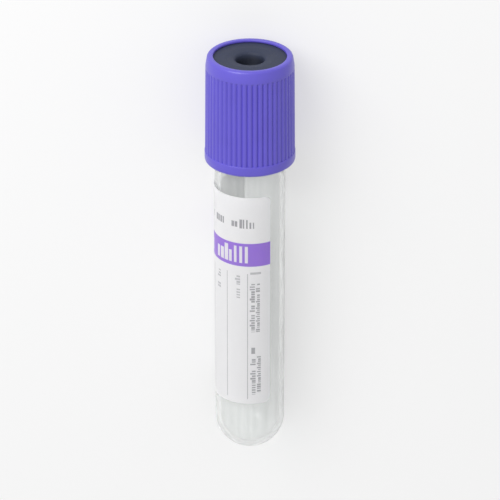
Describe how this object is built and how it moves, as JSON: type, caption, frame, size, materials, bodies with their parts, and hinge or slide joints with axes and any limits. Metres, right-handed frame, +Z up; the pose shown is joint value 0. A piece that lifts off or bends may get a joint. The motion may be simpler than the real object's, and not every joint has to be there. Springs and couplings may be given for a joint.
{
  "type": "blood collection tube",
  "caption": "Clear round-bottomed blood collection tube with a wrapped label, closed by a rubber stopper in a ribbed violet safety cap.",
  "frame": {"origin": "under the middle of the object's box, on the surface it lies on", "axes": "+Z up, +Y along the tube towards the cap (the tube's own axis rises about 1.9 degrees towards the cap, because the cap is wider), +X across the tube"},
  "size_m": [0.0166, 0.0808, 0.017],
  "materials": {
    "tube_clear": "clear polished PET, slightly milky where light gathers in the wall",
    "stopper_rubber": "matt dark grey butyl rubber",
    "cap_plastic": "satin violet polypropylene with fine grip ribs",
    "label_film": "white satin label stock with a violet band and fine grey print"
  },
  "bodies": {
    "tube": {"tube": "tube_clear", "label": "label_film"},
    "closure": {"cap": "cap_plastic", "stopper": "stopper_rubber"}
  },
  "joints": [
    {"name": "closure_pull", "type": "slide", "parent": "tube", "child": "closure", "axis": [0, 0.9994, 0.0336], "range_m": [0, 0.035]}
  ]
}
